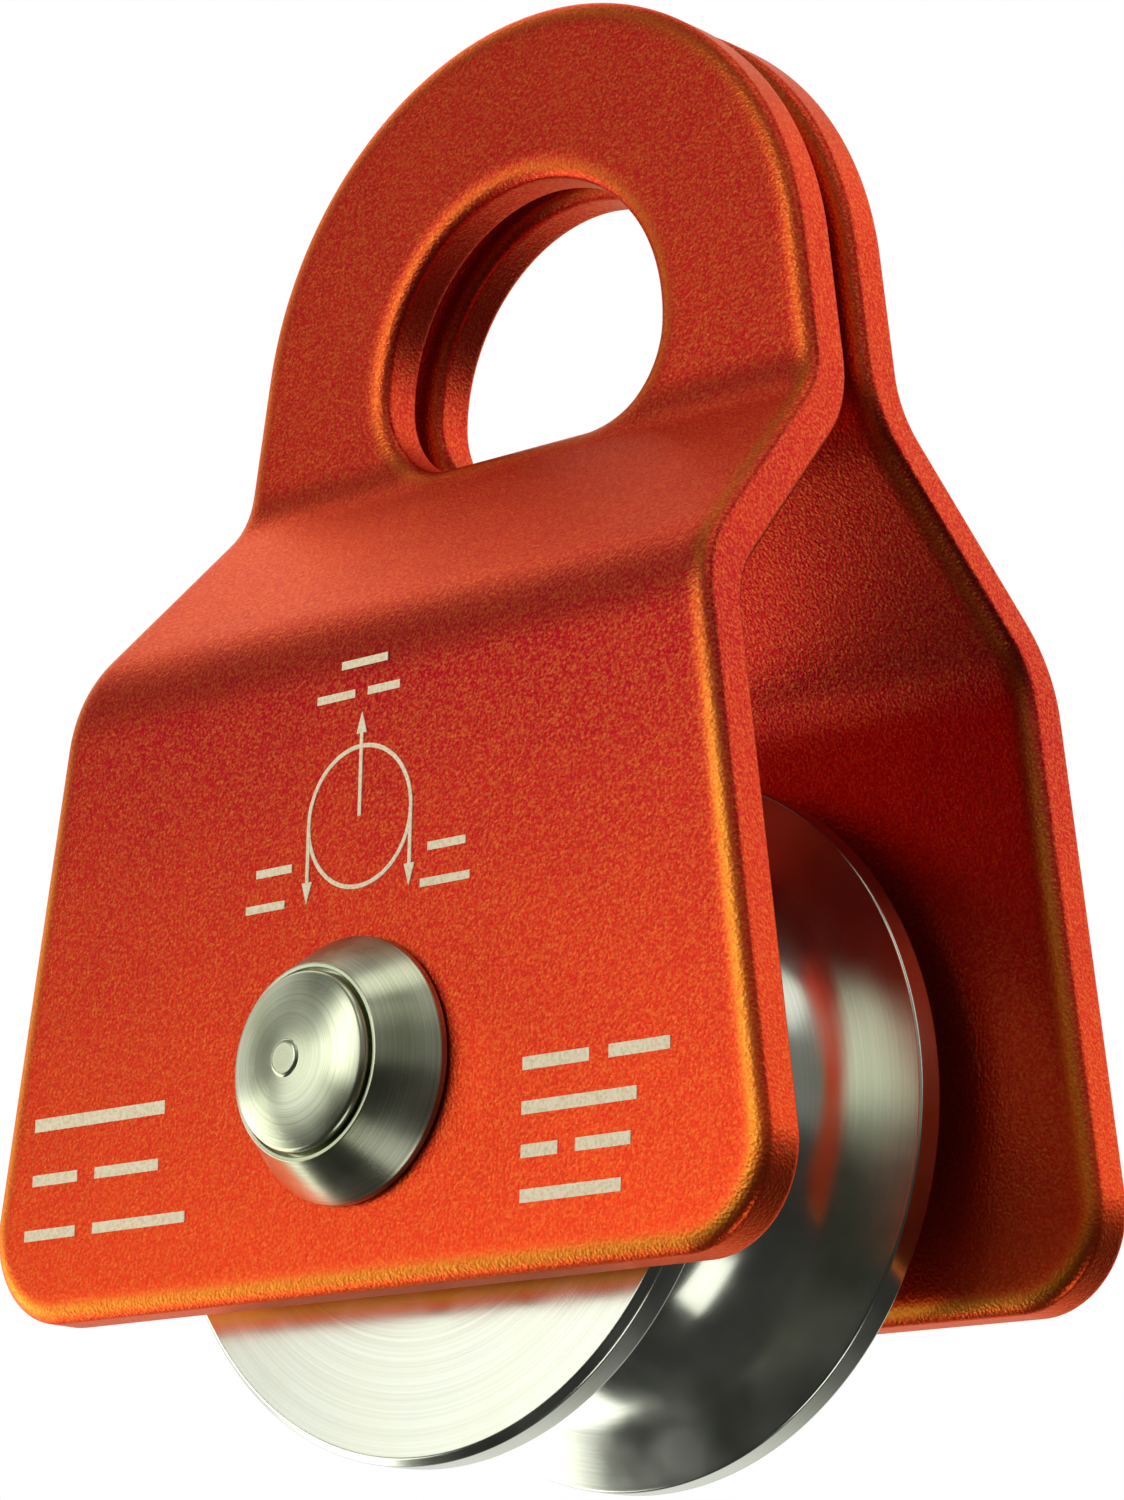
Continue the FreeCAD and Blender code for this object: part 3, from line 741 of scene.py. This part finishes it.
brass_finish = turned_metal(
    "pressed brass", srgb("#A8823C"), srgb("#D9B765"),
    ring_mm=0.2, ring_depth_mm=0.0004, smooth=0.2, rough=0.35)
washer_finish = turned_acetal("black acetal", srgb("#141415"), srgb("#222224"))
mark_finish = laser_mark("laser-marked oxide", srgb("#E6D2A6"), srgb("#FAEECB"))


# ---------------------------------------------------------------- the pieces
def mirrored(patches):
    """The same grids on the front side."""
    return [(points * [1, -1, 1], closed) for points, closed in patches]


plate = plate_patches()
plate_painted_highlight = painted_edge_highlight_on(plate)
for side_name, patches in (("rear", plate), ("front", mirrored(plate))):
    solid(side_name + "_plate_sheet", patches, side_name + "_plate", [side_name + "_side_plate"],
          plate_finish, sharp_degrees=50, painted_edge_highlight=plate_painted_highlight)
solid("sheave_wheel", [turned(sheave_profile(), segments=384)], "wheel", ["sheave"],
      sheave_finish)
solid("axle_pin_domed", [turned(axle_profile())], "axle_unit", ["axle_pin"],
      hub_finish)
for side_name, side in (("front", -1), ("rear", 1)):
    solid(side_name + "_cone_collar", [turned(to_side(collar_profile(), side))], "axle_unit",
          [side_name + "_collar"], hub_finish)
marks("load_ring_mark", load_ring(), mark_finish)
marks("load_arrow_marks", load_arrows(), mark_finish, ARROW_HEIGHT)
marks("print_bar_marks", print_bars(), mark_finish)

# the CAD nodes inside the hub keep their meshes; those without an ending here are steel
CAD_FINISHES = {
    "thrust_washer": washer_finish,
    "ball_cage": brass_finish}
for node_name, cad_object in frame["nodes"].items():
    chosen = bearing_finish
    for ending, finish in CAD_FINISHES.items():
        if node_name.endswith(ending):
            chosen = finish
    for material_slot in cad_object.material_slots:
        material_slot.material = chosen


# ---------------------------------------------------------------- floor, light, camera
FLOOR_Z = -600.0
FLOOR_RADIUS = 3000.0
BACKDROP = (-137, 12)                              # azimuth and elevation of its middle
STAGE_MIDDLE = Vector((0, 0, -18)) * MM            # the lights face this point

CAMERA_TARGET = Vector((3.07, -2.73, -19.51)) * MM
CAMERA_HEADING = (43.02, -14.35)                   # azimuth and elevation
CAMERA_DISTANCE = 212.6
CAMERA_ROLL = np.radians(1.16)
CAMERA_LENS = 149.3                                # for a sensor 36 mm wide

# name, azimuth, elevation, distance, width, height, radiance
SOFTBOXES = (
    ("key, in front", -8, 16, 420, 120, 300, 2.8),
    ("front left", -33, 0, 420, 220, 230, 1.35),
    ("upper left", -52, 24, 420, 260, 90, 0.15),
    ("overhead left", -108, 52, 420, 280, 240, 0.68),
    ("overhead right", 60, 76, 420, 180, 180, 1.2),
    ("upper right", 48, 42, 420, 160, 150, 0.9),
    ("lower left", -77, -23, 400, 310, 320, 2.0),
    ("below", 85, -70, 420, 190, 190, 1.6),
    ("back right", 137, 33, 450, 460, 400, 0.9))


def pale_floor():
    """Round plain floor, below all the lights. It glows a little so that it stays pale, and
    metal does not mirror it, so it leaves the light on the object alone."""
    angle = np.arange(CIRCLE_SIDES) * FULL_TURN / CIRCLE_SIDES
    x, y = FLOOR_RADIUS * np.cos(angle), FLOOR_RADIUS * np.sin(angle)
    mesh = bpy.data.meshes.new("floor")
    mesh.from_pydata(np.stack([x, y, 0 * x + FLOOR_Z], -1) * MM, [], [list(range(CIRCLE_SIDES))])
    floor = bpy.data.objects.new("floor", mesh)
    bpy.context.scene.collection.objects.link(floor)
    material, tree, shader, place = new_finish("pale matt floor")
    mottle = add(tree, "TexNoise", {"Vector": place, "Scale": per_mm(60.0), "Detail": 2.0})
    tint = ramp(tree, mottle.outputs["Fac"], srgb("#DCDCDA"), srgb("#E4E4E2"), 0.3, 0.7)
    tree.links.new(tint, shader.inputs["Base Color"])
    shader.inputs["Roughness"].default_value = 0.9
    shader.inputs["Emission Color"].default_value = (1, 1, 1, 1)
    shader.inputs["Emission Strength"].default_value = 0.4
    mesh.materials.append(material)
    floor.visible_glossy = False


def heading(azimuth, elevation):
    """Unit vector: azimuth 0 is in front of the front plate, 90 is to its right."""
    around, up = np.radians(azimuth), np.radians(elevation)
    return Vector((np.sin(around) * np.cos(up), -np.cos(around) * np.cos(up), np.sin(up)))


def softbox(name, azimuth, elevation, distance, width, height, radiance):
    """White rectangular soft light that faces the object, hidden from the camera itself.

    Its power is radiance * pi * area, so radiance is how bright it looks when mirrored."""
    light = bpy.data.lights.new(name, "AREA")
    light.shape = "RECTANGLE"
    light.size, light.size_y = width * MM, height * MM
    light.energy = radiance * np.pi * light.size * light.size_y
    box = bpy.data.objects.new(name, light)
    bpy.context.scene.collection.objects.link(box)
    out = heading(azimuth, elevation)
    box.matrix_world = Matrix.Translation(STAGE_MIDDLE + out * distance * MM) @ (
        out.to_track_quat("Z", "Y").to_matrix().to_4x4())
    box.visible_camera = False


def white_room(above, below, backdrop):
    """White world for the camera. For light and reflections it is a room that is dim above
    the horizon, nearly dark under it, and white towards the backdrop behind the object."""
    world = bpy.data.worlds.new("studio")
    bpy.context.scene.world = world
    world.use_nodes = True
    tree = world.node_tree
    tree.nodes.clear()
    direction = add(tree, "TexCoord").outputs["Generated"]
    height = add(tree, "SeparateXYZ", {"Vector": direction})
    level = add(tree, "MapRange", {"Value": height.outputs["Z"], "From Min": -0.08, "From Max": 0.1,
                                   "To Min": below, "To Max": above},
                interpolation_type="SMOOTHSTEP")
    facing = add(tree, "VectorMath", {0: direction, 1: heading(*BACKDROP)}, operation="DOT_PRODUCT")
    paper = add(tree, "MapRange", {"Value": facing.outputs["Value"], "From Min": 0.25,
                                   "From Max": 0.75, "To Min": 0.0, "To Max": backdrop},
                interpolation_type="SMOOTHSTEP")
    total = add(tree, "Math", {0: level.outputs["Result"], 1: paper.outputs["Result"]},
                operation="ADD")
    glow = add(tree, "Background", {"Color": (1, 1, 1, 1), "Strength": total.outputs[0]})
    white = add(tree, "Background", {"Color": (1, 1, 1, 1), "Strength": 1.0})
    path = add(tree, "LightPath")
    both = add(tree, "MixShader", {0: path.outputs["Is Camera Ray"], 1: glow.outputs[0],
                                   2: white.outputs[0]})
    add(tree, "OutputWorld", {"Surface": both.outputs[0]})


def low_camera():
    """Long lens, low and to the right of the front plate, with a slight roll."""
    out = heading(*CAMERA_HEADING)
    forward = -out
    level = forward.cross(Vector((0, 0, 1))).normalized()
    upward = level.cross(forward)
    right = level * np.cos(CAMERA_ROLL) + upward * np.sin(CAMERA_ROLL)
    top = upward * np.cos(CAMERA_ROLL) - level * np.sin(CAMERA_ROLL)
    data = bpy.data.cameras.new("camera")
    data.sensor_fit = "HORIZONTAL"
    data.sensor_width = 36
    data.lens = CAMERA_LENS
    data.clip_start = 0.01
    camera = bpy.data.objects.new("camera", data)
    bpy.context.scene.collection.objects.link(camera)
    pose = Matrix((right, top, out)).transposed().to_4x4()
    camera.matrix_world = Matrix.Translation(CAMERA_TARGET + out * CAMERA_DISTANCE * MM) @ pose
    bpy.context.scene.camera = camera


pale_floor()
for softbox_values in SOFTBOXES:
    softbox(*softbox_values)
white_room(above=0.2, below=0.03, backdrop=0.8)
low_camera()
bpy.context.scene.view_settings.view_transform = "Standard"
